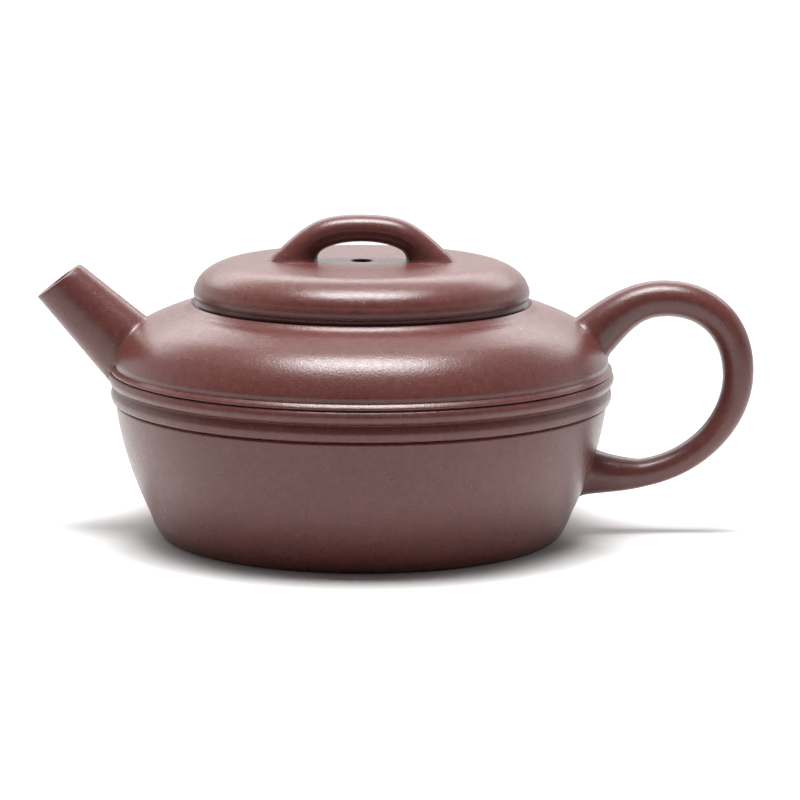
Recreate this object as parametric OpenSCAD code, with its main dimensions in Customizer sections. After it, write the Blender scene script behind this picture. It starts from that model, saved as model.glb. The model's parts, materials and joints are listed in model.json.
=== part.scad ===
// Low round teapot of unglazed stoneware clay, built from separately formed clay
// pieces that are luted together. Z is up and the resting face is z = 0. The axis of
// the body is x = y = 0, the spout points to -X and the handle to +X. Millimetres.

/* [Body] */
// Outer radius of the wall at its top edge, just under the rib band
waist_r = 49; // [48.5:0.1:49.4]
// Height of the wall's top edge
waist_z = 26.6; // [26:0.1:27]
// Lean of the wall at its top edge, in degrees from vertical
waist_lean = 7.2; // [6:0.2:9]
// Radius of the wall's long curve, seen in section
wall_arc = 66.4; // [60:0.2:75]
// Radius of the tighter curve that turns in to the foot
foot_arc = 18.9; // [17:0.1:21]
// Slope in degrees where the long curve meets the foot curve
foot_join = 27.4; // [25:0.2:30]
// Thickness of the wall
wall_t = 2.6; // [2.2:0.1:3]
// Radius of the base disc, inside the wall's foot
disc_r = 36.6; // [35:0.1:37]
// Thickness of the base disc
disc_t = 2.8; // [2.4:0.1:3]

/* [Shoulder] */
// Outer radius of the shoulder at the foot of the collar
neck_r = 33.9; // [33.4:0.1:34.4]
// Height of the shoulder at the foot of the collar
neck_z = 46.15; // [46:0.05:46.4]
// Direction of the shoulder's normal at the collar, in degrees above horizontal
neck_rise = 73.9; // [73:0.1:75]
// Radius of the shoulder's upper curve
crown_arc = 60; // [55:0.5:65]
// Normal direction where the two shoulder curves meet
haunch_rise = 65.2; // [64.6:0.2:66]
// Radius of the shoulder's tighter outer curve
haunch_arc = 12.8; // [12.5:0.1:13]
// Thickness of the shoulder
shoulder_t = 2.4; // [2:0.1:2.6]
// Height of the luted seam between wall and shoulder, hidden behind the ribs
seam_z = 29.2; // [28.6:0.1:29.8]

/* [Ribs] */
// Radius of the plain band that the ribs are laid on
band_r = 48.2; // [47.8:0.1:48.4]
// Outer radius of the broad lower rib
rib_low_r = 50.0; // [49.7:0.1:50.2]
// Height where the lower rib meets the middle rib
rib_low_top = 30.4; // [30.2:0.1:30.6]
// Outer radius of the round middle rib
rib_mid_r = 50.35; // [50:0.05:50.6]
// Height where the middle rib meets the thin upper rib
rib_mid_top = 33.15; // [33:0.05:33.3]
// Outer radius of the thin upper rib
rib_top_r = 49.95; // [49.8:0.05:50.2]
// Height of the thin upper rib's upper edge
rib_top_z = 34.35; // [34.2:0.05:34.5]

/* [Mouth] */
// Radius of the mouth
mouth_r = 29; // [28.5:0.1:29.5]
// Height of the collar's top face, where the lid rests
seat_z = 47.5; // [47.3:0.1:47.8]
// Outer radius of the collar at its top
collar_r = 33.0; // [32.6:0.1:33.2]

/* [Lid] */
// Radius of the lid
lid_r = 33.5; // [33.2:0.1:33.8]
// Height of the lid's widest line
lid_rim_z = 49.1; // [48.9:0.1:49.3]
// Radius of the curve below the widest line
lid_under_arc = 4; // [3:0.1:5]
// Radius of the round edge above the widest line
lid_edge_arc = 3.2; // [2.8:0.1:3.6]
// Normal direction where the round edge meets the lid's shoulder curve
lid_edge_rise = 43; // [38:1:48]
// Radius of the curve between the round edge and the flat top
lid_haunch_arc = 10.6; // [10:0.1:11]
// Height of the middle of the lid
lid_top_z = 54.68; // [54.66:0.01:54.7]
// Thickness of the lid's top
lid_t = 2.4; // [2:0.1:2.6]
// Radius of the vent at the top face
vent_r = 2.3; // [1.8:0.1:2.5]
// Radius of the vent inside the lid
vent_in_r = 1.2; // [0.8:0.1:1.5]
// Outer radius of the ring that centres the lid in the mouth
flange_r = 28.72; // [28.6:0.02:28.8]
// Thickness of that ring
flange_t = 2.1; // [1.8:0.1:2.6]
// Depth of that ring below the seat
flange_h = 4.3; // [3:0.1:5]
// Height of the top of the bridge knob
knob_top_z = 63.85; // [63.8:0.05:64.2]
// Thickness of the bridge knob at its crown
knob_d = 5.3; // [5.2:0.05:5.3]
// Width of the bridge knob across its arch
knob_w = 6.5; // [5.6:0.1:7]
// Distance from the lid's axis to the middle of each foot of the knob
knob_reach = 13.15; // [13:0.05:13.4]

/* [Spout] */
// Distance of the middle of the spout's mouth from the body's axis
tip_x = 60.3; // [59:0.05:62]
// Height of the middle of the spout's mouth
tip_z = 50.4; // [49:0.05:51]
// Climb of the spout, in degrees above horizontal
spout_climb = 44.5; // [43:0.5:46]
// Outer radius of the spout at its mouth
tip_r = 5.3; // [4.8:0.1:5.5]
// Taper of the spout, in degrees on each side
spout_taper = 5.7; // [5:0.1:7]
// How far the mouth's cut is turned towards level, in degrees
tip_turn = 8; // [0:0.5:9]
// Radius of the straight bore behind the spout's mouth
bore_r = 2.95; // [2.6:0.05:3.1]
// Radius of the tea channel where it leaves the body
channel_r = 3.6; // [3.2:0.1:3.8]

/* [Strainer] */
// Outer radius of the ball strainer
ball_r = 6.6; // [6:0.1:7]
// Thickness of the ball strainer
ball_t = 1.2; // [1:0.1:1.4]
// Radius of each strainer hole
sieve_r = 0.8; // [0.6:0.1:0.9]

/* [Handle] */
// Highest point of the handle's centre line, from the body's axis and from the ground
handle_top = [60.6, 47.4];
// Outermost point of the handle's centre line
handle_back = [75.25, 32];
// Point where the handle's centre line turns in towards the wall
handle_low = [56.5, 12.1];
// Thickness of the handle at its highest point
handle_d = 7.2; // [6.8:0.1:7.6]
// Width of the handle's oval section, as a share of its thickness
handle_oval = 1.18; // [1:0.02:1.25]

/* [Hidden] */
$fn = 96;

clay = [0.36, 0.23, 0.20];
clay_light = [0.43, 0.28, 0.25];
clay_dark = [0.28, 0.17, 0.15];

// Point on a circle in the section plane, its normal `rise` degrees above horizontal
function on_arc(c, r, rise) = c + r * [cos(rise), sin(rise)];
function arc(c, r, from, to, steps) =
    [for (i = [0:steps]) on_arc(c, r, from + (to - from) * i / steps)];

function backwards(pts) = [for (i = [len(pts) - 1:-1:0]) pts[i]];

// Wall: long curve and foot curve meet tangentially
wall_c = [waist_r - wall_arc * cos(waist_lean), waist_z + wall_arc * sin(waist_lean)];
foot_c = on_arc(wall_c, wall_arc - foot_arc, -foot_join);
function foot_rise(z, t) = -asin((foot_c.y - z) / (foot_arc - t));
function wall_rise(z, t) = -asin((wall_c.y - z) / (wall_arc - t));
function foot_curve(z, t) = arc(foot_c, foot_arc - t, foot_rise(z, t), -foot_join, 6);
function wall_curve(z, t) = arc(wall_c, wall_arc - t, -foot_join, wall_rise(z, t), 8);

// Shoulder: upper curve and haunch curve meet tangentially
crown_c = [neck_r, neck_z] - crown_arc * [cos(neck_rise), sin(neck_rise)];
haunch_c = on_arc(crown_c, crown_arc - haunch_arc, haunch_rise);
function haunch_curve(z, t) =
    arc(haunch_c, haunch_arc - t, asin((z - haunch_c.y) / (haunch_arc - t)), haunch_rise, 10);
function crown_curve(z, t) =
    arc(crown_c, crown_arc - t, haunch_rise, asin((z - crown_c.y) / (crown_arc - t)), 5);
throat_z = neck_z - shoulder_t;

// Outer outlines, from the bottom up
wall_outer = concat(foot_curve(0, 0), wall_curve(waist_z, 0));
shoulder_outer = concat(haunch_curve(rib_top_z, 0), crown_curve(neck_z, 0));

// Ribs, seen in section
rib_low_face = [[rib_low_r - 0.55, waist_z + 0.55], [rib_low_r - 0.08, waist_z + 0.95],
                [rib_low_r, waist_z + 1.25], [rib_low_r - 0.1, waist_z + 2.1],
                [rib_low_r - 0.4, rib_low_top - 0.6], [rib_low_r - 0.55, rib_low_top]];
rib_mid_h = rib_mid_top - rib_low_top;
rib_mid_face = arc([rib_mid_r - rib_mid_h * 0.52, rib_low_top + rib_mid_h / 2],
                   rib_mid_h * 0.52, -72, 72, 8);
rib_top_h = rib_top_z - rib_mid_top;
rib_top_face = arc([rib_top_r - rib_top_h * 0.52, rib_mid_top + rib_top_h / 2],
                   rib_top_h * 0.52, -72, 72, 6);

// Whole outer form of the body, for cutting the roots of spout and handle
module body_form() {
    rotate_extrude()
        polygon(concat([[0, 0]], wall_outer, rib_low_face, rib_mid_face, rib_top_face,
                       shoulder_outer, [[0, neck_z]]));
}

// Whole inner hollow of the body
module body_hollow() {
    rotate_extrude()
        polygon(concat([[0, disc_t]], foot_curve(disc_t, wall_t), wall_curve(seam_z, wall_t),
                       haunch_curve(haunch_c.y, shoulder_t), crown_curve(throat_z, shoulder_t),
                       [[0, throat_z]]));
}

module ring(inner_r, z0, z1, face) {
    rotate_extrude()
        polygon(concat([[inner_r, z0]], face, [[inner_r, z1]]));
}

// Spout frame: z = 0 at the mouth, +Z down the spout towards the body
tip = [-tip_x, 0, tip_z];
channel_len = 22;
straight_len = 9;
widen_len = 7;
cut_over = 2;
module along_spout(s) {
    translate(tip) rotate([0, 90 + spout_climb, 0]) translate([0, 0, s]) children();
}

// Tea channel: a straight bore at the mouth that widens towards the body
module tea_channel() {
    along_spout(-cut_over)
        cylinder(h = straight_len + cut_over, r = bore_r);
    along_spout(straight_len)
        cylinder(h = widen_len, r1 = bore_r, r2 = channel_r);
    along_spout(straight_len + widen_len)
        cylinder(h = channel_len - straight_len - widen_len, r = channel_r);
}

module base_plate() {
    color(clay_dark)
        cylinder(h = disc_t, r = disc_r);
}

module lower_wall() {
    color(clay)
        rotate_extrude()
            polygon(concat([[disc_r, 0]], wall_outer,
                           [[band_r, waist_z + 0.3], [band_r, seam_z]],
                           backwards(concat(foot_curve(disc_t, wall_t), wall_curve(seam_z, wall_t))),
                           [[disc_r, disc_t]]));
}

module shoulder() {
    inner = concat([on_arc(wall_c, wall_arc - wall_t, wall_rise(seam_z, wall_t))],
                   haunch_curve(haunch_c.y, shoulder_t),
                   crown_curve(throat_z, shoulder_t), [[mouth_r, throat_z]]);
    color(clay)
        difference() {
            rotate_extrude()
                polygon(concat([[band_r, seam_z], [band_r, rib_top_z]], shoulder_outer,
                               [[mouth_r, neck_z]], backwards(inner)));
            tea_channel();
        }
}

module rib_lower() {
    color(clay_light)
        ring(band_r, waist_z + 0.3, rib_low_top, rib_low_face);
}

module rib_middle() {
    color(clay)
        ring(band_r, rib_low_top, rib_mid_top, rib_mid_face);
}

module rib_upper() {
    color(clay_light)
        difference() {
            ring(band_r, rib_mid_top, rib_top_z, rib_top_face);
            tea_channel();
        }
}

module mouth_ring() {
    hollow_r = collar_r + 0.15;
    color(clay_dark)
        ring(mouth_r, neck_z, seat_z,
             [[neck_r, neck_z], [hollow_r + 0.15, neck_z + 0.45], [hollow_r, seat_z - 0.3],
              [collar_r, seat_z]]);
}

module spout() {
    root_r = tip_r + channel_len * tan(spout_taper);
    lip_r = tip_r - cut_over * tan(spout_taper);
    color(clay)
        difference() {
            along_spout(-cut_over)
                cylinder(h = channel_len + cut_over, r1 = lip_r, r2 = root_r);
            along_spout(0)
                rotate([0, tip_turn, 0])
                    translate([0, 0, -2 * tip_r])
                        cube(4 * tip_r, center = true);
            tea_channel();
            body_form();
        }
}

// Hollow half ball, its rim carried on below the middle by `below`
module dome(r, t, below) {
    rotate_extrude()
        intersection() {
            difference() {
                circle(r = r);
                circle(r = r - t);
            }
            translate([0, -below])
                square(2 * r);
        }
}

// Ball strainer: a perforated dome on the inner wall, round the tea channel
ball_x = haunch_c.x + haunch_arc - shoulder_t - 0.6;
ball_z = tip_z - (tip_x - ball_x) * tan(spout_climb);
ball_rim = 1.5;
// Each row of holes: its angle from the dome's axis, and how many holes it has
sieve_rows = [[0, 1], [28, 6], [58, 10]];
sieve_over = 0.8;

module strainer() {
    color(clay_dark)
        difference() {
            intersection() {
                translate([-ball_x, 0, ball_z])
                    rotate([0, 90, 0])
                        dome(ball_r, ball_t, ball_rim);
                body_hollow();
            }
            translate([-ball_x, 0, ball_z])
                for (row = sieve_rows)
                    for (i = [0:row[1] - 1])
                        rotate([i * 360 / row[1], 0, 0])
                            rotate([0, 90 - row[0], 0])
                                translate([0, 0, ball_r - ball_t - sieve_over])
                                    cylinder(h = ball_t + 2 * sieve_over, r = sieve_r);
        }
}

// Cubic Bezier curve through four control points
function bezier(p, t) = pow(1 - t, 3) * p[0] + 3 * t * pow(1 - t, 2) * p[1]
    + 3 * t * t * (1 - t) * p[2] + pow(t, 3) * p[3];

// Sweep of an oval section along a path in the plane y = 0.
// half_in is the half thickness in that plane and half_out the one across it, for each ring.
module oval_sweep(path, half_in, half_out, sides) {
    last = len(path) - 1;
    function way(i) = path[min(i + 1, last)] - path[max(i - 1, 0)];
    points = [for (i = [0:last])
        let (d = way(i) / norm(way(i)))
            for (k = [0:sides - 1])
                let (a = 360 * k / sides, u = half_in[i] * cos(a))
                    [path[i].x - d.y * u, half_out[i] * sin(a), path[i].y + d.x * u]];
    sides_faces = [for (i = [0:last - 1]) for (k = [0:sides - 1])
        let (a = i * sides + k, b = i * sides + (k + 1) % sides)
            each [[a, b, b + sides], [a, b + sides, a + sides]]];
    first_cap = [for (k = [sides - 1:-1:0]) k];
    last_cap = [for (k = [0:sides - 1]) last * sides + k];
    polyhedron(points = points, faces = concat([first_cap], sides_faces, [last_cap]));
}

// Handle centre line: root, rise, back, return and lower root
handle_rise = [[42.5, 36.2], [50.1, 43.8], handle_top - [6.9, 0], handle_top];
handle_fall = [handle_top, handle_top + [8.9, 0], handle_back + [0, 9.2], handle_back];
handle_return = [handle_back, handle_back - [0, 8.7], handle_low + [11.5, 2.1], handle_low];
handle_root = [handle_low, handle_low - [3.5, 0.64], [47, 12.2], [42.4, 12.4]];
handle_curves = [handle_rise, handle_fall, handle_return, handle_root];
handle_steps = 10;
handle_path = concat(
    [for (c = handle_curves) for (i = [0:handle_steps - 1]) bezier(c, i / handle_steps)],
    [handle_root[3]]);
// Half thickness along the handle, as a share of its thickness at the top.
// The first number of each pair counts the curves of the centre line.
handle_shape = [[0, 0.76], [0.25, 0.66], [0.5, 0.56], [0.75, 0.51], [1, 0.5], [1.5, 0.475],
                [2, 0.43], [2.5, 0.38], [2.9, 0.38], [3.1, 0.41], [3.4, 0.5], [3.7, 0.6], [4, 0.66]];

module handle() {
    half = [for (i = [0:len(handle_path) - 1]) handle_d * lookup(i / handle_steps, handle_shape)];
    across = [for (h = half) handle_oval * min(h, handle_d / 2 + (h - handle_d / 2) * 0.5)];
    color(clay)
        difference() {
            oval_sweep(handle_path, half, across, 20);
            body_form();
        }
}

// Lid section: under curve, round edge, haunch and a slightly domed top
under_c = [lid_r - lid_under_arc, lid_rim_z];
edge_c = [lid_r - lid_edge_arc, lid_rim_z];
lid_haunch_c = on_arc(edge_c, lid_edge_arc - lid_haunch_arc, lid_edge_rise);
dome_h = lid_top_z - lid_haunch_c.y;
dome_arc = (pow(lid_haunch_c.x, 2) + pow(dome_h, 2) - pow(lid_haunch_arc, 2))
           / (2 * (dome_h - lid_haunch_arc));
dome_c = [0, lid_top_z - dome_arc];
dome_rise = atan2(lid_haunch_c.y - dome_c.y, lid_haunch_c.x);
lid_outer = concat(arc(under_c, lid_under_arc, -asin((lid_rim_z - seat_z) / lid_under_arc), 0, 3),
                   arc(edge_c, lid_edge_arc, 0, lid_edge_rise, 6),
                   arc(lid_haunch_c, lid_haunch_arc, lid_edge_rise, dome_rise, 8),
                   arc(dome_c, dome_arc, dome_rise, 90, 4));
skirt_r = 30.6;
seat_t = 1.9;
ceiling_z = lid_top_z - lid_t;

module lid_form() {
    rotate_extrude()
        polygon(concat([[0, seat_z]], lid_outer));
}

module lid_top() {
    color(clay_light)
        difference() {
            lid_form();
            translate([0, 0, seat_z - 1])
                cylinder(h = seat_t + 1, r = skirt_r);
            translate([0, 0, seat_z])
                cylinder(h = ceiling_z - seat_z, r1 = skirt_r, r2 = skirt_r - 4);
            translate([0, 0, ceiling_z - 1])
                cylinder(h = lid_t + 2, r = vent_in_r);
            translate([0, 0, lid_top_z - 1.1])
                cylinder(h = 1.2, r1 = vent_in_r, r2 = vent_r);
        }
}

module lid_seat() {
    color(clay)
        translate([0, 0, seat_z])
            difference() {
                cylinder(h = seat_t, r = skirt_r);
                translate([0, 0, -1])
                    cylinder(h = seat_t + 2, r = flange_r - flange_t);
            }
}

module lid_flange() {
    color(clay_dark)
        translate([0, 0, seat_z - flange_h])
            difference() {
                cylinder(h = flange_h, r = flange_r);
                translate([0, 0, -1])
                    cylinder(h = flange_h + 2, r = flange_r - flange_t);
            }
}

// Bridge knob: an arch over the vent, thicker towards its two feet
knob_mid_z = knob_top_z - knob_d / 2;
knob_half = [[0, knob_mid_z], [8.6, knob_mid_z], [knob_reach - 1.25, knob_mid_z - 2.8],
             [knob_reach, lid_top_z - 1.6]];
knob_steps = 12;
// How much of the feet's growth in thickness goes into their width too
knob_spread = 0.3;
knob_right = [for (i = [0:knob_steps]) bezier(knob_half, i / knob_steps)];
knob_left = [for (i = [knob_steps:-1:1]) [-knob_right[i].x, knob_right[i].y]];
knob_shape = [[0, 0.5], [0.35, 0.53], [0.6, 0.52], [0.8, 0.69], [0.92, 0.88], [1, 1.2]];

module lid_knob() {
    path = concat(knob_left, knob_right);
    half = [for (i = [0:len(path) - 1]) knob_d * lookup(abs(i - knob_steps) / knob_steps, knob_shape)];
    across = [for (h = half) knob_w / 2 + (h - knob_d / 2) * knob_spread];
    color(clay)
        difference() {
            oval_sweep(path, half, across, 20);
            lid_form();
        }
}

base_plate();
lower_wall();
shoulder();
rib_lower();
rib_middle();
rib_upper();
mouth_ring();
spout();
strainer();
handle();
lid_top();
lid_seat();
lid_flange();
lid_knob();
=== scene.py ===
import json
import math

import bmesh
import bpy
import numpy as np
from mathutils import Matrix, Vector


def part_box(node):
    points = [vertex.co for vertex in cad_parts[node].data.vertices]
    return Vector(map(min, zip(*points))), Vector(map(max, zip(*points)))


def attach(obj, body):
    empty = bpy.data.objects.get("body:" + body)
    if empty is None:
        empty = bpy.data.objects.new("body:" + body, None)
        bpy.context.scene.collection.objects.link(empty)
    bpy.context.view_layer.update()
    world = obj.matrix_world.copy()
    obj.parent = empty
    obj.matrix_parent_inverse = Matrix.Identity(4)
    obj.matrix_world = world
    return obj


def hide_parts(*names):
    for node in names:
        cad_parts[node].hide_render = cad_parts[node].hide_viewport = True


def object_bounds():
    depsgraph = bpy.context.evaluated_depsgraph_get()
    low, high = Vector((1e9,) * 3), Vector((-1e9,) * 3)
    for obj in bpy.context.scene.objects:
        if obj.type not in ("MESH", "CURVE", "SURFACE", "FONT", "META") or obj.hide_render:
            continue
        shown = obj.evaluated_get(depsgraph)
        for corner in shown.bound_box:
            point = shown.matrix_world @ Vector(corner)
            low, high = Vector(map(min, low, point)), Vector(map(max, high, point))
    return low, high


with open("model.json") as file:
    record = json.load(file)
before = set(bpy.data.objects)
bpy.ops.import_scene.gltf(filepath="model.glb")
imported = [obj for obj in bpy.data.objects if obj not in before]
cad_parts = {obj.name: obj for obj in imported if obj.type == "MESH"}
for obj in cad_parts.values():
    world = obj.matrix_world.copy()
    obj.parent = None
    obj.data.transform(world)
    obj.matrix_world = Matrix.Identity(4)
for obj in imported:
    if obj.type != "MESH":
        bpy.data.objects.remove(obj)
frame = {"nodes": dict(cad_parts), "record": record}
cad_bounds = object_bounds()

MM = 0.001


# ---------------------------------------------------------------- sizes, from the frame

def top(node):
    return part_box(node)[1].z / MM


def bottom(node):
    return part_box(node)[0].z / MM


def reach(node):
    """Outer radius of a round node, in millimetres."""
    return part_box(node)[1].x / MM


# Section curves of the body and the lid, in millimetres
WALL_ARC = 66.4
FOOT_ARC = 18.9
FOOT_JOIN = 27.4
WALL_LEAN = 7.2
WALL_T = 2.6
CROWN_ARC = 60.0
HAUNCH_ARC = 12.8
NECK_RISE = 73.9
HAUNCH_RISE = 65.2
SHOULDER_T = 2.4
BAND_R = 48.2
MOUTH_R = 29.0
LID_UNDER_ARC = 4.0
LID_EDGE_ARC = 3.2
LID_EDGE_RISE = 43.0
LID_HAUNCH_ARC = 10.6
VENT_R = 2.3
VENT_IN_R = 1.2
SPOUT_TAPER = math.radians(5.7)
TIP_TURN = math.radians(8.0)
TIP_R = 5.3
BORE_R = 2.95
CHANNEL_R = 3.6
STRAIGHT_BORE = 9.0
WIDENING_BORE = 7.0

WAIST_Z = bottom("rib_lower") - 0.3
WAIST_R = 49.0
DISC_R = reach("base_plate")
DISC_T = top("base_plate")
SEAM_Z = top("lower_wall")
NECK_R = reach("mouth_ring")
NECK_Z = bottom("mouth_ring")
SEAT_Z = top("mouth_ring")
LID_R = reach("lid_top")
LID_RIM_Z = SEAT_Z + 1.6
LID_TOP_Z = top("lid_top")
KNOB_TOP_Z = top("lid_knob")

# Radius below which a lathe draws a point and not a ring
POINT_R = 1e-6
ROUND_STEPS = 288
# How far the knob and the handle stay inside the CAD's outline
GUARD = 0.03
# Gap between the base disc and the wall round it, and between the seat plate and the lid
LUTE_GAP = 0.02
# The ring turns against the seat plate, so a hair's breadth keeps their faces apart
RING_PLAY = 0.02
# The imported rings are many-sided, so the round ones drawn here stay just inside them
FACET_PLAY = 0.01

RIB_LOW_TOP = top("rib_lower")
RIB_MID_TOP = top("rib_middle")
RIB_TOP_Z = top("rib_upper")
RIB_LOW_R = reach("rib_lower") - FACET_PLAY
RIB_MID_R = reach("rib_middle") - FACET_PLAY
RIB_TOP_R = reach("rib_upper") - FACET_PLAY

# Depth and height of the extra clay at the foot
FOOT_FILL = 0.8
FOOT_FILL_H = 3.5
# Depth and height of the groove tooled in above the thin rib
GROOVE_IN = 0.35
GROOVE_H = 0.7
# The shoulder's low lip at the neck, and the shallow dip outside it
LIP_H = 0.4
LIP_W = 0.9
DIP_H = 0.14
DIP_W = 1.6
# The thin rib: a small round nose, then a long soft bevel that faces up and out
NOSE_R = 0.3
NOSE_UP = 0.32
BEVEL_ARC = 3.4
BEVEL_LOW, BEVEL_HIGH = 41.0, 58.0
# How much of its height the middle rib takes as its radius, and how far round it goes
MID_RIB_ARC = 0.52
MID_RIB_TURN = 74
# Width over which the curvature of the lid's outline is evened out
LID_BLEND = 5.0


# ---------------------------------------------------------------- section helpers

def on_arc(c, r, rise):
    a = math.radians(rise)
    return (c[0] + r * math.cos(a), c[1] + r * math.sin(a))


def arc(c, r, start, end, steps):
    return [on_arc(c, r, start + (end - start) * i / steps) for i in range(steps + 1)]


def rise_at(c, r, z):
    """Direction of the normal where the circle passes height z, in degrees."""
    return math.degrees(math.asin((z - c[1]) / r))


def rounded(corners, steps=5):
    """Outline through (r, z, radius) corners, each rounded by its own radius."""
    out = []
    n = len(corners)
    for i, (r, z, radius) in enumerate(corners):
        p = Vector((r, z))
        before = Vector(corners[i - 1][:2]) - p
        after = Vector(corners[(i + 1) % n][:2]) - p
        if radius <= 0:
            out.append((r, z))
            continue
        reach_in = min(radius, before.length * 0.48, after.length * 0.48)
        a = p + before.normalized() * reach_in
        b = p + after.normalized() * reach_in
        for k in range(steps + 1):
            t = k / steps
            q = a * (1 - t) ** 2 + p * (2 * t * (1 - t)) + b * t ** 2
            out.append((q.x, q.y))
    return out


def sharp(points):
    """Points of a smooth curve, as corners that stay as they are."""
    return [(r, z, 0) for r, z in points]


# ---------------------------------------------------------------- body and lid outlines

wall_c = (WAIST_R - WALL_ARC * math.cos(math.radians(WALL_LEAN)),
          WAIST_Z + WALL_ARC * math.sin(math.radians(WALL_LEAN)))
foot_c = on_arc(wall_c, WALL_ARC - FOOT_ARC, -FOOT_JOIN)
crown_c = (NECK_R - CROWN_ARC * math.cos(math.radians(NECK_RISE)),
           NECK_Z - CROWN_ARC * math.sin(math.radians(NECK_RISE)))
haunch_c = on_arc(crown_c, CROWN_ARC - HAUNCH_ARC, HAUNCH_RISE)


def wall_curve(z0, z1, t):
    """Section of the wall from height z0 to z1, moved in by t."""
    foot = arc(foot_c, FOOT_ARC - t, rise_at(foot_c, FOOT_ARC - t, z0), -FOOT_JOIN, 14)
    wall = arc(wall_c, WALL_ARC - t, -FOOT_JOIN, rise_at(wall_c, WALL_ARC - t, z1), 40)
    return foot + wall[1:]


def outer_wall():
    """Outside of the wall, filled out a little at the foot as a hand-turned foot is."""
    return [(r + FOOT_FILL * math.exp(-(z / FOOT_FILL_H) ** 2), z) for r, z in wall_curve(0, WAIST_Z, 0)]


def shoulder_curve(z0, z1, t):
    """Section of the shoulder from height z0 to z1, moved in by t."""
    haunch = arc(haunch_c, HAUNCH_ARC - t, rise_at(haunch_c, HAUNCH_ARC - t, z0), HAUNCH_RISE, 36)
    crown = arc(crown_c, CROWN_ARC - t, HAUNCH_RISE, rise_at(crown_c, CROWN_ARC - t, z1), 40)
    return haunch + crown[1:]


def outer_shoulder(z0, z1):
    """Outside of the shoulder: tooled in above the thin rib, swept up a little at the neck."""
    out = []
    for r, z in shoulder_curve(z0, z1, 0):
        tooled = GROOVE_IN * math.exp(-((z - RIB_TOP_Z) / GROOVE_H) ** 2)
        lip = LIP_H * math.exp(-((r - NECK_R) / LIP_W) ** 2)
        dip = DIP_H * math.exp(-((r - NECK_R - DIP_W) / DIP_W) ** 2)
        out.append((r - tooled, z + lip - dip))
    return out


# The broad rib, as (r, z, corner radius)
lower_rib = [
    (RIB_LOW_R - 0.8, WAIST_Z + 0.45, 0.15),
    (RIB_LOW_R - 0.26, WAIST_Z + 0.72, 0.3),
    (RIB_LOW_R - 0.02, WAIST_Z + 2.0, 0.7),
    (RIB_LOW_R - 0.3, WAIST_Z + 3.0, 0.6),
    (RIB_LOW_R - 0.62, RIB_LOW_TOP - 0.25, 0.3),
    (RIB_LOW_R - 0.62, RIB_LOW_TOP, 0.1),
]
mid_h = RIB_MID_TOP - RIB_LOW_TOP
mid_r = mid_h * MID_RIB_ARC
middle_rib = arc((RIB_MID_R - mid_r, RIB_LOW_TOP + mid_h / 2), mid_r, -MID_RIB_TURN, MID_RIB_TURN, 20)
nose_c = (RIB_TOP_R - NOSE_R, RIB_MID_TOP + NOSE_UP)
bevel_c = on_arc(nose_c, NOSE_R - BEVEL_ARC, BEVEL_LOW)
bead = arc(nose_c, NOSE_R, -60, BEVEL_LOW, 10) + arc(bevel_c, BEVEL_ARC, BEVEL_LOW, BEVEL_HIGH, 10)[1:]

body_outline = (outer_wall() + [c[:2] for c in lower_rib] + middle_rib + bead
                + outer_shoulder(RIB_TOP_Z, NECK_Z))

edge_c = (LID_R - LID_EDGE_ARC, LID_RIM_Z)
under_c = (LID_R - LID_UNDER_ARC, LID_RIM_Z)
lid_haunch_c = on_arc(edge_c, LID_EDGE_ARC - LID_HAUNCH_ARC, LID_EDGE_RISE)
dome_h = LID_TOP_Z - lid_haunch_c[1]
dome_arc = (lid_haunch_c[0] ** 2 + dome_h ** 2 - LID_HAUNCH_ARC ** 2) / (2 * (dome_h - LID_HAUNCH_ARC))
dome_c = (0.0, LID_TOP_Z - dome_arc)
dome_rise = math.degrees(math.atan2(lid_haunch_c[1] - dome_c[1], lid_haunch_c[0]))
vent_rise = math.degrees(math.acos((VENT_R + 0.1) / dome_arc))


def smoothed(points, width):
    """Outline with its curvature evened out over width millimetres; both ends stay."""
    pts = np.array(points)
    run = np.concatenate([[0], np.cumsum(np.linalg.norm(np.diff(pts, axis=0), axis=1))])
    even = np.linspace(0, run[-1], 160)
    near = np.minimum(width / 2, np.minimum(even, run[-1] - even))
    shifts = np.linspace(-1, 1, 15)
    out = [np.mean([np.interp(even + s * near, run, pts[:, k]) for s in shifts], axis=0) for k in (0, 1)]
    return list(zip(*out))


lid_outline = (arc(under_c, LID_UNDER_ARC, rise_at(under_c, LID_UNDER_ARC, SEAT_Z + 0.1), 0, 10)
               + arc(edge_c, LID_EDGE_ARC, 0, LID_EDGE_RISE, 16)[1:]
               + arc(lid_haunch_c, LID_HAUNCH_ARC, LID_EDGE_RISE, dome_rise, 20)[1:]
               + arc(dome_c, dome_arc, dome_rise, vent_rise, 24)[1:])
lid_outline = smoothed(lid_outline, LID_BLEND)


def outline_table(outline, by):
    """Sorted numbers for np.interp: by is 1 to look up r from z, 0 to look up z from r."""
    pts = np.array(outline)
    pts = pts[np.argsort(pts[:, by], kind="stable")]
    return pts[:, by], pts[:, 1 - by]


body_z, body_r = outline_table(body_outline, 1)
lid_r_table, lid_z_table = outline_table(
    [p for p in lid_outline if p[1] > LID_RIM_Z] + [(0.0, LID_TOP_Z)], 0)


# Height either side over which off_body reads the body's slope
SLOPE_STEP = 0.4


def off_body(p):
    """About how far points stand out of the body, in millimetres."""
    r = np.hypot(p[..., 0], p[..., 1])
    z = p[..., 2]
    radial = r - np.interp(z, body_z, body_r)
    rise = np.interp(z + SLOPE_STEP, body_z, body_r) - np.interp(z - SLOPE_STEP, body_z, body_r)
    slope = rise / (2 * SLOPE_STEP)
    return radial / np.sqrt(1 + slope ** 2)


def off_lid(p):
    """How far points stand above the lid, in millimetres."""
    r = np.hypot(p[..., 0], p[..., 1])
    return p[..., 2] - np.interp(r, lid_r_table, lid_z_table)


# ---------------------------------------------------------------- mesh helpers

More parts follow.
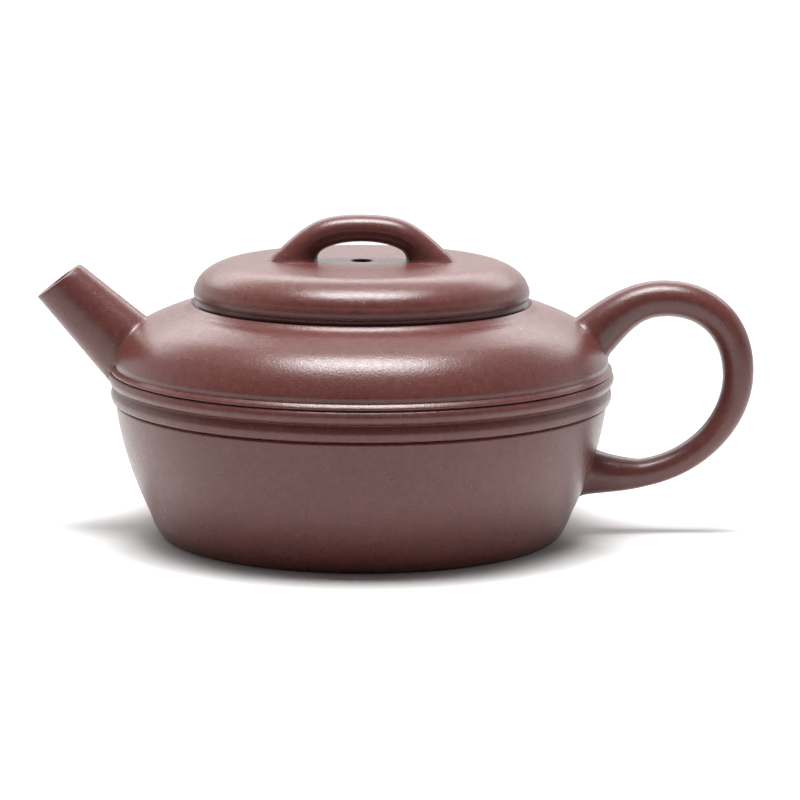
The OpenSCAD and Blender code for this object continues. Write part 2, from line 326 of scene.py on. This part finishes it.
# Edges that turn by more than this stay crisp, in degrees
SHARP_ANGLE = 38.0
MERGE_DIST = 1e-7


def make_object(name, verts, faces):
    """Mesh object from points in millimetres, with outward normals and crisp edges kept."""
    mesh = bpy.data.meshes.new(name)
    mesh.from_pydata([tuple(float(c) * MM for c in v) for v in verts], [], faces)
    bm = bmesh.new()
    bm.from_mesh(mesh)
    bmesh.ops.remove_doubles(bm, verts=bm.verts, dist=MERGE_DIST)
    bmesh.ops.recalc_face_normals(bm, faces=bm.faces)
    limit = math.radians(SHARP_ANGLE)
    for face in bm.faces:
        face.smooth = True
    for edge in bm.edges:
        edge.smooth = len(edge.link_faces) == 2 and edge.calc_face_angle(0.0) < limit
    bm.to_mesh(mesh)
    bm.free()
    obj = bpy.data.objects.new(name, mesh)
    bpy.context.scene.collection.objects.link(obj)
    return obj


def lathe(name, outline):
    """Turns a closed outline of (r, z) points round the Z axis."""
    steps = ROUND_STEPS
    angle = np.linspace(0, 2 * math.pi, steps, endpoint=False)
    verts = []
    rows = []
    for r, z in outline:
        if r < POINT_R:
            rows.append([len(verts)] * steps)
            verts.append((0.0, 0.0, z))
            continue
        rows.append(list(range(len(verts), len(verts) + steps)))
        verts.extend(zip(r * np.cos(angle), r * np.sin(angle), [z] * steps))
    faces = []
    for i in range(len(rows)):
        a, b = rows[i], rows[(i + 1) % len(rows)]
        if a[0] == a[1] and b[0] == b[1]:
            continue
        for k in range(steps):
            m = (k + 1) % steps
            face = [a[k], a[m], b[m], b[k]]
            faces.append([v for j, v in enumerate(face) if v not in face[:j]])
    return make_object(name, verts, faces)


def tube_faces(rows, sides, closed_rows=False):
    """Faces between rings of points; closed_rows joins the last ring to the first."""
    faces = []
    last = rows if closed_rows else rows - 1
    for i in range(last):
        j = (i + 1) % rows
        for k in range(sides):
            m = (k + 1) % sides
            faces.append([i * sides + k, i * sides + m, j * sides + m, j * sides + k])
    return faces


def bezier(points, t):
    """Point at t on a cubic curve through four control points."""
    p = np.array(points, float)
    t = np.asarray(t, float)[..., None]
    return ((1 - t) ** 3 * p[0] + 3 * t * (1 - t) ** 2 * p[1]
            + 3 * t ** 2 * (1 - t) * p[2] + t ** 3 * p[3])


def follow(curves, u):
    """Point on a chain of Bezier curves in the plane y = 0. u counts the curves."""
    u = np.asarray(u, float)
    index = np.clip(u.astype(int), 0, len(curves) - 1)
    out = np.zeros(u.shape + (2,))
    for i, curve in enumerate(curves):
        here = index == i
        out[here] = bezier(curve, (u - i)[here])
    return out


LOOKUP_BLUR = 0.12


def smooth_lookup(table, u):
    """Table of (u, value) pairs, read through a short moving average."""
    xs, ys = zip(*table)
    shifts = np.linspace(-LOOKUP_BLUR, LOOKUP_BLUR, 9)
    return sum(np.interp(u + s, xs, ys) for s in shifts) / len(shifts)


COIL_SIDES = 64
# Steps along a coil when its ends are looked for, and the step for its direction
COIL_STEPS = 1600
COIL_NUDGE = 1e-3
# How deep a coil's ends go into the surface they are luted to
COIL_SUNK = 0.12


def coil_of_clay(name, curves, shape, across, off, flare, rows):
    """A rolled coil of clay bent along curves, both ends luted to a surface.

    shape(u) is the half thickness in the plane y = 0 and across(u) the one across it.
    off(p) says how far a point stands off the surface, and flare(u) gives the height
    and width of the small fillet that the coil is smoothed down with.
    """
    length = len(curves)
    sides = COIL_SIDES
    angle = np.linspace(0, 2 * math.pi, sides, endpoint=False)

    def surface(u, a):
        p = follow(curves, u)
        ahead = follow(curves, np.minimum(u + COIL_NUDGE, length))
        d = ahead - follow(curves, np.maximum(u - COIL_NUDGE, 0))
        d /= np.linalg.norm(d, axis=-1, keepdims=True)
        out_x = -d[..., 1] * np.cos(a)
        out_z = d[..., 0] * np.cos(a)
        out_y = np.sin(a)
        inside, beside = shape(u), across(u)
        base = np.stack([p[..., 0] + out_x * inside, out_y * beside, p[..., 1] + out_z * inside], -1)
        height, width = flare(u)
        swell = height * np.exp(-np.clip(off(base), 0, None) / width)
        return base + np.stack([out_x, out_y, out_z], -1) * swell[..., None]

    fine = np.linspace(0, length, COIL_STEPS)
    grid_u, grid_a = np.meshgrid(fine, angle, indexing="ij")
    clear = off(surface(grid_u, grid_a)) > -COIL_SUNK
    middle = len(fine) // 2
    first = np.array([middle - np.argmin(clear[middle::-1, k]) + 1 for k in range(sides)])
    last = np.array([middle + np.argmin(clear[middle:, k]) - 1 for k in range(sides)])
    share = np.linspace(0, 1, rows)[:, None]
    u = fine[first][None] + (fine[last] - fine[first])[None] * share
    verts = surface(u, np.broadcast_to(angle, u.shape)).reshape(-1, 3)
    faces = tube_faces(rows, sides)
    faces.append(list(range(sides)))
    faces.append([(rows - 1) * sides + k for k in range(sides)])
    return make_object(name, verts, faces)


# ---------------------------------------------------------------- clay

def new_material(name):
    """Empty node material with a Principled shader wired to its output."""
    mat = bpy.data.materials.new(name)
    mat.use_nodes = True
    tree = mat.node_tree
    tree.nodes.clear()
    output = tree.nodes.new("ShaderNodeOutputMaterial")
    shader = tree.nodes.new("ShaderNodeBsdfPrincipled")
    tree.links.new(shader.outputs["BSDF"], output.inputs["Surface"])
    return mat, tree, shader


def add(tree, kind, **settings):
    """A node with its properties and input values set."""
    node = tree.nodes.new(kind)
    for key, value in settings.items():
        if hasattr(node, key):
            setattr(node, key, value)
        else:
            node.inputs[key.replace("_", " ")].default_value = value
    return node


def ramp(tree, source, stops):
    """Colour ramp over source, with stops as (position, colour)."""
    node = tree.nodes.new("ShaderNodeValToRGB")
    while len(node.color_ramp.elements) < len(stops):
        node.color_ramp.elements.new(0.5)
    for element, (position, value) in zip(node.color_ramp.elements, stops):
        element.position = position
        element.color = (*value, 1)
    tree.links.new(source, node.inputs["Fac"])
    return node.outputs["Color"]


def grey(value):
    return (value, value, value)


# Places of the colour sockets of a Mix node: its factor, both inputs and its result
MIX_FACTOR, MIX_A, MIX_B, MIX_OUT = 0, 6, 7, 2


def mix_colours(tree, factor, a, b, blend="MIX"):
    """Mix node; factor, a and b are numbers, colours or other nodes' outputs."""
    node = tree.nodes.new("ShaderNodeMix")
    node.data_type = "RGBA"
    node.blend_type = blend
    for place, value in ((MIX_FACTOR, factor), (MIX_A, a), (MIX_B, b)):
        socket = node.inputs[place]
        if isinstance(value, tuple):
            socket.default_value = (*value, 1)
        elif isinstance(value, (int, float)):
            socket.default_value = value
        else:
            tree.links.new(value, socket)
    return node.outputs[MIX_OUT]


CLAY_COLOUR = (0.116, 0.0355, 0.0315)
# Near-black painted shade for the inside of the spout's bore and of the vent
PAINTED_SHADE_COLOUR = (0.006, 0.003, 0.003)
PALE_GRAIN = (0.36, 0.14, 0.07)
DARK_GRAIN = (0.07, 0.03, 0.03)
# Least and greatest roughness of the clay, and of the dull clay painted near-black as shade
CLAY_ROUGH = (0.27, 0.35)
PAINTED_SHADE_ROUGH = (0.85, 0.95)
# Kiln mottling, as a share of the clay's colour
MOTTLE_DARK = (0.9, 0.86, 0.86)
MOTTLE_LIGHT = (1.1, 1.16, 1.12)
# How many features of each kind there are in a metre
MOTTLE_SCALE = 38
CLOUD_SCALE = 700
GRAIN_SCALE = 2400
ROUGH_SCALE = 900
FINE_SCALE = 2600
PEEL_SCALE = 850
# Share of the sand grains that are pale, and that are dark
PALE_SHARE = 0.07
DARK_SHARE = 0.015
BUMP_STRENGTH = 0.5
BUMP_HEIGHT = 0.00009


def clay_material(name, seed, base, gloss):
    """Fired clay: mottled and clouded colour, sand grains and a fine grainy surface."""
    mat, tree, shader = new_material(name)
    link = tree.links.new
    coords = tree.nodes.new("ShaderNodeTexCoord").outputs["Object"]
    shift = add(tree, "ShaderNodeMapping")
    shift.inputs["Location"].default_value = (0.31 * seed, 0.17 * seed, 0.23 * seed)
    link(coords, shift.inputs["Vector"])
    where = shift.outputs["Vector"]

    def noise_at(scale, detail, rough=0.5):
        node = add(tree, "ShaderNodeTexNoise", Scale=scale, Detail=detail, Roughness=rough)
        link(where, node.inputs["Vector"])
        return node.outputs["Fac"]

    def cells(scale, out="Distance"):
        node = add(tree, "ShaderNodeTexVoronoi", Scale=scale)
        link(where, node.inputs["Vector"])
        return node.outputs[out]

    def maths(operation, a, b):
        node = tree.nodes.new("ShaderNodeMath")
        node.operation = operation
        for socket, value in ((node.inputs[0], a), (node.inputs[1], b)):
            if isinstance(value, (int, float)):
                socket.default_value = value
            else:
                link(value, socket)
        return node.outputs[0]

    def tinted(tint):
        return tuple(c * t for c, t in zip(base, tint))

    # Broad mottling from the kiln, then finer clouding of the clay itself
    mottle = ramp(tree, noise_at(MOTTLE_SCALE, 3), [(0.3, tinted(MOTTLE_DARK)), (0.7, tinted(MOTTLE_LIGHT))])
    cloud = ramp(tree, noise_at(CLOUD_SCALE, 5, 0.7), [(0.3, grey(0.8)), (0.7, grey(1.2))])
    colour = mix_colours(tree, 1.0, mottle, cloud, "MULTIPLY")
    # Sand grains: sparse pale and dark dots
    grain_id = cells(GRAIN_SCALE, "Color")
    grain_d = cells(GRAIN_SCALE)
    dot = ramp(tree, grain_d, [(0.18, grey(1)), (0.34, grey(0))])
    pick = tree.nodes.new("ShaderNodeSeparateColor")
    link(grain_id, pick.inputs["Color"])
    pale = maths("MULTIPLY", maths("GREATER_THAN", pick.outputs[0], 1 - PALE_SHARE), dot)
    dark = maths("MULTIPLY", maths("LESS_THAN", pick.outputs[0], DARK_SHARE), dot)
    colour = mix_colours(tree, maths("MULTIPLY", pale, 0.5), colour, PALE_GRAIN)
    colour = mix_colours(tree, maths("MULTIPLY", dark, 0.35), colour, DARK_GRAIN)
    link(colour, shader.inputs["Base Color"])

    rough = ramp(tree, noise_at(ROUGH_SCALE, 3), [(0.3, grey(gloss[0])), (0.7, grey(gloss[1]))])
    link(rough, shader.inputs["Roughness"])
    shader.inputs["IOR"].default_value = 1.5
    shader.inputs["Coat Weight"].default_value = 0.04
    shader.inputs["Coat Roughness"].default_value = 0.3

    fine = noise_at(FINE_SCALE, 2)
    peel = noise_at(PEEL_SCALE, 3)
    height = maths("ADD", maths("MULTIPLY", fine, 0.9), maths("MULTIPLY", peel, 0.4))
    height = maths("ADD", height, maths("MULTIPLY", pale, 0.35))
    bump = add(tree, "ShaderNodeBump", Strength=BUMP_STRENGTH, Distance=BUMP_HEIGHT)
    link(height, bump.inputs["Height"])
    link(bump.outputs["Normal"], shader.inputs["Normal"])
    return mat


POT_CLAY = clay_material("zisha_pot", 1, CLAY_COLOUR, CLAY_ROUGH)
LID_CLAY = clay_material("zisha_lid", 2, CLAY_COLOUR, CLAY_ROUGH)
# Inside of the spout and of the vent, painted near-black: painted shade where the bore and the vent fall
# dark
PAINTED_SHADE_CLAY = clay_material("zisha_painted_shade", 3, PAINTED_SHADE_COLOUR, PAINTED_SHADE_ROUGH)


def paint_shade_inside(obj, is_inside):
    """Gives the near-black painted-shade clay to the faces whose middle, in millimetres, is_inside picks."""
    obj.data.materials.append(PAINTED_SHADE_CLAY)
    for face in obj.data.polygons:
        if is_inside(np.array(face.center) / MM):
            face.material_index = 1


def finish_piece(obj, body, node):
    """Gives a piece its clay and its body, and hides the CAD node it stands for."""
    obj.data.materials.clear()
    obj.data.materials.append(POT_CLAY if body == "pot" else LID_CLAY)
    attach(obj, body)
    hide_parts(node)
    return obj


# ---------------------------------------------------------------- body

def base_plate():
    edge = DISC_R - LUTE_GAP
    outline = rounded([(0, 0, 0), (edge, 0, 0.12), (edge, DISC_T, 0.1), (0, DISC_T, 0)])
    finish_piece(lathe("base_disc", outline), "pot", "base_plate")


def lower_wall():
    outer = outer_wall()
    inner = wall_curve(DISC_T, SEAM_Z, WALL_T)
    hole = DISC_R + LUTE_GAP
    crease = WAIST_Z + 0.32
    outline = rounded(
        [(hole, 0.0, 0.12), (outer[0][0], 0.0, 0.5)] + sharp(outer[3:-3])
        + [(WAIST_R, WAIST_Z - 0.05, 0.35), (BAND_R + 0.35, crease, 0.1), (BAND_R, crease, 0)]
        + [(BAND_R, SEAM_Z, 0)] + sharp(inner[::-1]) + [(hole, DISC_T, 0.1)])
    finish_piece(lathe("wall_belt", outline), "pot", "lower_wall")


def ribs():
    low = rounded([(BAND_R, WAIST_Z + 0.3, 0)] + lower_rib + [(BAND_R, RIB_LOW_TOP, 0)])
    finish_piece(lathe("broad_rib", low), "pot", "rib_lower")
    mid = [(BAND_R, RIB_LOW_TOP)] + middle_rib + [(BAND_R, RIB_MID_TOP)]
    finish_piece(lathe("round_rib", mid), "pot", "rib_middle")
    thin = [(BAND_R, RIB_MID_TOP)] + bead + [(BAND_R, RIB_TOP_Z)]
    finish_piece(lathe("thin_rib", thin), "pot", "rib_upper")


def spout_axis():
    """Middle of the spout's mouth, and the direction down the spout into the body."""
    bore = next(m for m in frame["record"]["mounts"] if m["name"] == "spout_mouth")
    inward = -Vector(bore["axis"])
    half = STRAIGHT_BORE / 2
    tip = Vector(bore["pos_m"]) / MM - inward * half
    return np.array(tip), np.array(inward)


CUTTER_SIDES = 48
# Stretch of the spout's axis that the cutter covers, from its mouth
CUTTER_SPAN = (12.0, 26.0)


def channel_cutter():
    """Solid of the tea channel where it passes through the shoulder."""
    tip, inward = spout_axis()
    side = np.array([inward[2], 0, -inward[0]])
    across = np.array([0, 1, 0])
    sides = CUTTER_SIDES
    verts = []
    for s in CUTTER_SPAN:
        for k in range(sides):
            # Half a step round, so that no corner falls in the shoulder's own seam plane
            a = 2 * math.pi * (k + 0.5) / sides
            verts.append(tip + inward * s + CHANNEL_R * (side * math.cos(a) + across * math.sin(a)))
    faces = tube_faces(2, sides) + [list(range(sides)), list(range(sides, 2 * sides))]
    return make_object("channel_cutter", verts, faces)


def shoulder():
    inner = shoulder_curve(haunch_c[1], NECK_Z - SHOULDER_T, SHOULDER_T)
    wall_in = on_arc(wall_c, WALL_ARC - WALL_T, rise_at(wall_c, WALL_ARC - WALL_T, SEAM_Z))
    start_z = RIB_TOP_Z - 0.25
    outline = rounded(
        [(BAND_R, SEAM_Z, 0), (BAND_R, start_z, 0)] + sharp(outer_shoulder(start_z, NECK_Z))
        + [(NECK_R - 0.5, NECK_Z + 0.1, 0.2), (NECK_R - 1.2, NECK_Z, 0)]
        + [(MOUTH_R, NECK_Z, 0), (MOUTH_R, NECK_Z - SHOULDER_T, 0.4)]
        + sharp(inner[::-1]) + sharp([wall_in]))
    obj = lathe("shoulder_dome", outline)
    cutter = channel_cutter()
    cut = obj.modifiers.new("channel", "BOOLEAN")
    cut.object = cutter
    cut.solver = "EXACT"
    graph = bpy.context.evaluated_depsgraph_get()
    mesh = bpy.data.meshes.new_from_object(obj.evaluated_get(graph))
    obj.modifiers.clear()
    obj.data = mesh
    bpy.data.objects.remove(cutter)
    finish_piece(obj, "pot", "shoulder")


# How far the collar's face stands back from the neck's edge
COLLAR_IN = 1.7


def mouth_ring():
    collar = NECK_R - COLLAR_IN
    outline = rounded([
        (MOUTH_R, NECK_Z, 0), (NECK_R - 0.6, NECK_Z, 0), (collar + 0.4, NECK_Z + 0.2, 0.3),
        (collar + 0.1, NECK_Z + 0.6, 0.3), (collar + 0.1, SEAT_Z - 0.3, 0.2),
        (collar, SEAT_Z, 0.12), (MOUTH_R, SEAT_Z, 0.25)])
    finish_piece(lathe("collar", outline), "pot", "mouth_ring")


# ---------------------------------------------------------------- spout

# The line of slip that is pressed into the joint between spout and body
SEAM_RIDGE = 0.3
SEAM_W = 0.28
SPOUT_SIDES = 96
# Radius of the rim's outer edge, and the inner edge's radius as a share of it
SPOUT_LIP = 0.34
LIP_INNER = 0.7
# Where along the spout its root is looked for, and how deep its wall goes into the body
ROOT_SPAN = (4, 26)
ROOT_SUNK = 0.1
ROOT_PAST = 0.6
ROOT_WALL = 1.2


def spout():
    tip, inward = spout_axis()
    side = np.array([inward[2], 0, -inward[0]])
    across = np.array([0.0, 1.0, 0.0])
    sides = SPOUT_SIDES
    angle = np.linspace(0, 2 * math.pi, sides, endpoint=False)
    radial = side * np.cos(angle)[:, None] + across * np.sin(angle)[:, None]
    tilt = math.tan(TIP_TURN)

    def place(s, r):
        """Ring at distances s down the spout and radii r."""
        along = np.broadcast_to(s, (sides,))[:, None]
        out = np.broadcast_to(r, (sides,))[:, None]
        return tip + inward * along + radial * out

    def mouth(r):
        """Distance down the spout of the slanted mouth, at radius r."""
        return -tilt * r * np.cos(angle)

    def outer(s):
        r = TIP_R + s * math.tan(SPOUT_TAPER)
        base = place(s, r)
        ridge = SEAM_RIDGE * np.exp(-np.clip(off_body(base), 0, None) / SEAM_W)
        return place(s, r + ridge)

    # Where each line down the outside reaches the body
    fine = np.linspace(*ROOT_SPAN, 900)
    gap = np.array([off_body(outer(s)) for s in fine])
    root = fine[np.argmax(gap < -ROOT_SUNK, axis=0)]

    # Rings from the rim down the outside to the root, back up the bore and over its edge
    rings = []
    lip, lip_in = SPOUT_LIP, SPOUT_LIP * LIP_INNER
    rim_in = BORE_R + lip_in
    rim_out = TIP_R - lip
    for k in range(9):
        a = math.radians(90 * k / 8)
        r = rim_out + lip * math.sin(a)
        rings.append(place(mouth(r) + lip * (1 - math.cos(a)), r))
    start = mouth(TIP_R) + lip
    for t in 1 - (1 - np.linspace(0, 1, 71)[1:]) ** 2:
        rings.append(outer(start + (root - start) * t))
    ends = root + ROOT_PAST
    rings.append(place(ends, CHANNEL_R + ROOT_WALL))
    rings.append(place(ends, CHANNEL_R))
    for t in np.linspace(0, 1, 13)[1:]:
        s = ends + (STRAIGHT_BORE - ends) * t
        share = np.clip((s - STRAIGHT_BORE) / WIDENING_BORE, 0, 1)
        rings.append(place(s, BORE_R + (CHANNEL_R - BORE_R) * share))
    for t in np.linspace(0, 1, 7)[1:]:
        s = STRAIGHT_BORE + (1.0 - STRAIGHT_BORE) * t
        rings.append(place(s, BORE_R))
    for k in range(1, 8):
        a = math.radians(90 * k / 8)
        r = BORE_R + (rim_in - BORE_R) * (1 - math.cos(a))
        rings.append(place(mouth(r) + lip_in * (1 - math.sin(a)), r))
    rings.append(place(mouth(rim_in), rim_in))
    faces = tube_faces(len(rings), sides, closed_rows=True)
    obj = make_object("spout_tube", np.concatenate(rings), faces)
    finish_piece(obj, "pot", "spout")

    def in_bore(p):
        along = float(np.dot(p - tip, inward))
        off_axis = np.linalg.norm(p - tip - inward * along)
        return along > 0.25 and off_axis < BORE_R + 0.06 + along * 0.05

    # The bore is painted near-black: painted shade down the inside of the spout
    paint_shade_inside(obj, in_bore)


# ---------------------------------------------------------------- handle

HANDLE_TOP = np.array([60.6, 47.4])
HANDLE_BACK = np.array([75.25 - GUARD, 32.0])
HANDLE_LOW = np.array([56.5, 12.1])
HANDLE_D = 7.2
HANDLE_OVAL = 1.18
# How much of the roots' growth in thickness goes into their width too
HANDLE_SPREAD = 0.5
HANDLE_CURVES = [
    [(42.5, 36.2), (50.1, 43.8), HANDLE_TOP - (6.9, 0), HANDLE_TOP],
    [HANDLE_TOP, HANDLE_TOP + (8.9, 0), HANDLE_BACK + (0, 9.2), HANDLE_BACK],
    [HANDLE_BACK, HANDLE_BACK - (0, 8.7), HANDLE_LOW + (11.5, 2.1), HANDLE_LOW],
    [HANDLE_LOW, HANDLE_LOW - (3.5, 0.64), (47, 12.2), (42.4, 12.4)],
]
# Half thickness along the four curves, as a share of HANDLE_D
HANDLE_SHAPE = [(0, 0.76), (0.25, 0.66), (0.5, 0.56), (0.75, 0.51), (1, 0.5), (1.5, 0.475),
                (2, 0.43), (2.5, 0.38), (2.9, 0.38), (3.1, 0.41), (3.4, 0.5), (3.7, 0.6), (4, 0.66)]


def handle():
    def shape(u):
        return HANDLE_D * smooth_lookup(HANDLE_SHAPE, u)

    def across(u):
        half = shape(u)
        return HANDLE_OVAL * np.minimum(half, HANDLE_D / 2 + (half - HANDLE_D / 2) * HANDLE_SPREAD)

    def flare(u):
        upper = u < 2
        return np.where(upper, 0.28, 0.6), np.where(upper, 0.3, 1.1)

    obj = coil_of_clay("ear_handle", HANDLE_CURVES, shape, across, off_body, flare, rows=220)
    finish_piece(obj, "pot", "handle")


# ---------------------------------------------------------------- lid

LID_T = 2.4
RING_T = 2.1


def lid():
    ceiling = LID_TOP_Z - LID_T
    skirt = reach("lid_seat")
    seat_top = top("lid_seat")
    shell = rounded(
        [(skirt + LUTE_GAP, SEAT_Z, 0.05), (lid_outline[0][0] - 0.25, SEAT_Z, 0.2)] + sharp(lid_outline)
        + [(VENT_R, LID_TOP_Z - 0.12, 0.12), (VENT_IN_R, LID_TOP_Z - 1.1, 0.3), (VENT_IN_R, ceiling, 0.1)]
        + [(skirt - 4, ceiling, 1.2), (skirt - 0.5, seat_top + 0.1, 0.2)]
        + [(skirt + LUTE_GAP, seat_top, 0)])
    dome = finish_piece(lathe("lid_dome", shell), "lid", "lid_top")
    # The vent's inside is painted near-black: painted shade
    paint_shade_inside(dome, lambda p: math.hypot(p[0], p[1]) < VENT_R - 0.05 and p[2] < LID_TOP_Z - 0.1)
    ring_out = reach("lid_flange")
    ring_in = ring_out - RING_T
    seat = rounded(
        [(ring_in, SEAT_Z, 0), (skirt, SEAT_Z, 0.05), (skirt, seat_top, 0), (ring_in, seat_top, 0.3)])
    finish_piece(lathe("lid_seat_plate", seat), "lid", "lid_seat")
    low, high = bottom("lid_flange"), SEAT_Z - RING_PLAY
    ring = rounded([(ring_in, low, 0.6), (ring_out, low, 0.8), (ring_out, high, 0), (ring_in, high, 0)])
    finish_piece(lathe("centring_ring", ring), "lid_ring", "lid_flange")


KNOB_D = 5.3
KNOB_W = 6.5
KNOB_REACH = 13.15
# How much of the feet's growth in thickness goes into their width too
KNOB_SPREAD = 0.3
# Half thickness from the middle to a foot, as a share of KNOB_D
KNOB_SHAPE = [(0, 0.5), (0.35, 0.53), (0.6, 0.52), (0.8, 0.69), (0.92, 0.88), (1, 1.2)]


def knob():
    mid = KNOB_TOP_Z - GUARD - KNOB_D / 2
    right = [(0, mid), (8.6, mid), (KNOB_REACH - 1.25, mid - 2.8), (KNOB_REACH, LID_TOP_Z - 1.6)]
    left = [(-x, z) for x, z in reversed(right)]

    def shape(u):
        return KNOB_D * smooth_lookup(KNOB_SHAPE, np.abs(u - 1))

    def across(u):
        return KNOB_W / 2 + (shape(u) - KNOB_D / 2) * KNOB_SPREAD

    def flare(u):
        return np.full(np.shape(u), 0.2), np.full(np.shape(u), 0.22)

    obj = coil_of_clay("bridge_knob", [left, right], shape, across, off_lid, flare, rows=150)
    finish_piece(obj, "lid", "lid_knob")


def strainer():
    """The strainer is shown as it is in the CAD, in the pot's clay."""
    node = frame["nodes"]["strainer"]
    node.data.materials.clear()
    node.data.materials.append(POT_CLAY)


base_plate()
lower_wall()
ribs()
shoulder()
mouth_ring()
spout()
handle()
strainer()
lid()
knob()


# ---------------------------------------------------------------- floor, light and camera

# Half the width of the floor, in metres
FLOOR_HALF = 4.0


def floor():
    corners = [(x * FLOOR_HALF, y * FLOOR_HALF, 0) for x, y in ((-1, -1), (1, -1), (1, 1), (-1, 1))]
    mesh = bpy.data.meshes.new("floor")
    mesh.from_pydata(corners, [], [(0, 1, 2, 3)])
    obj = bpy.data.objects.new("floor", mesh)
    bpy.context.scene.collection.objects.link(obj)
    mat, tree, shader = new_material("floor")
    blotches = add(tree, "ShaderNodeTexNoise", Scale=3.0).outputs["Fac"]
    tone = ramp(tree, blotches, [(0, grey(0.83)), (1, grey(0.86))])
    tree.links.new(tone, shader.inputs["Base Color"])
    shader.inputs["Roughness"].default_value = 0.9
    obj.data.materials.append(mat)


def area_light(name, place, aim, size, radiance):
    """Rectangular light; radiance is how bright its face is, with white paper at 1."""
    light = bpy.data.lights.new(name, "AREA")
    light.shape = "RECTANGLE"
    light.size, light.size_y = size
    light.energy = radiance * math.pi * size[0] * size[1]
    obj = bpy.data.objects.new(name, light)
    obj.location = place
    obj.rotation_euler = (Vector(aim) - Vector(place)).to_track_quat("-Z", "Y").to_euler()
    bpy.context.scene.collection.objects.link(obj)


def lights():
    """A softbox overhead, a weak one behind, and a lit backdrop in a room with a dim front."""
    world = bpy.data.worlds.new("studio")
    bpy.context.scene.world = world
    world.use_nodes = True
    tree = world.node_tree
    where = tree.nodes.new("ShaderNodeTexCoord").outputs["Generated"]
    split = tree.nodes.new("ShaderNodeSeparateXYZ")
    tree.links.new(where, split.inputs["Vector"])
    depth = add(tree, "ShaderNodeMapRange", From_Min=-1.0, From_Max=1.0)
    tree.links.new(split.outputs["Y"], depth.inputs["Value"])
    # Dim room in front of the pot, white walls beside and behind it
    walls = [(0.0, grey(0.06)), (0.35, grey(0.2)), (0.62, grey(0.9)), (1, grey(1))]
    shade = ramp(tree, depth.outputs["Result"], walls)
    # The walls are lit low down and go dark towards the ceiling
    ceiling = ramp(tree, split.outputs["Z"], [(0.18, grey(1)), (0.5, grey(0.4))])
    shade = mix_colours(tree, 1.0, shade, ceiling, "MULTIPLY")
    background = tree.nodes["Background"]
    tree.links.new(shade, background.inputs["Color"])
    background.inputs["Strength"].default_value = 1.1
    area_light("softbox_top", (0, -0.035, 0.62), (0, -0.035, 0), (0.38, 0.23), 24.0)
    area_light("softbox_back", (0, 0.42, 0.72), (0, 0, 0.04), (0.46, 0.3), 0.8)
    area_light("backdrop_light", (0, 1.9, 1.2), (0, 1.9, 0), (3.6, 1.2), 4.0)


ELEVATION = math.radians(9.95)
ROLL = math.radians(0.3)
DISTANCE = 0.68
SENSOR = 36.0
# Focal length, in widths of the sensor
LENS_RATIO = 4.25
# Where the camera aims: metres past the middle of the length, and share of the height
AIM_PAST = 0.0008
AIM_HEIGHT = 0.4166


def camera():
    """Long lens, a little above the pot, looking along +Y."""
    low, high = cad_bounds
    aim = Vector(((low.x + high.x) / 2 + AIM_PAST, 0, high.z * AIM_HEIGHT))
    forward = Vector((0, math.cos(ELEVATION), -math.sin(ELEVATION)))
    level_up = Vector((0, math.sin(ELEVATION), math.cos(ELEVATION)))
    level_right = Vector((1, 0, 0))
    right = level_right * math.cos(ROLL) + level_up * math.sin(ROLL)
    up = level_up * math.cos(ROLL) - level_right * math.sin(ROLL)
    data = bpy.data.cameras.new("camera")
    data.sensor_width = SENSOR
    data.lens = SENSOR * LENS_RATIO
    data.clip_start = 0.01
    data.clip_end = 50
    obj = bpy.data.objects.new("camera", data)
    turn = Matrix((right, up, -forward)).transposed().to_4x4()
    obj.matrix_world = Matrix.Translation(aim - forward * DISTANCE) @ turn
    bpy.context.scene.collection.objects.link(obj)
    bpy.context.scene.camera = obj


floor()
lights()
camera()
bpy.context.scene.view_settings.view_transform = "Standard"

bpy.context.view_layer.update()
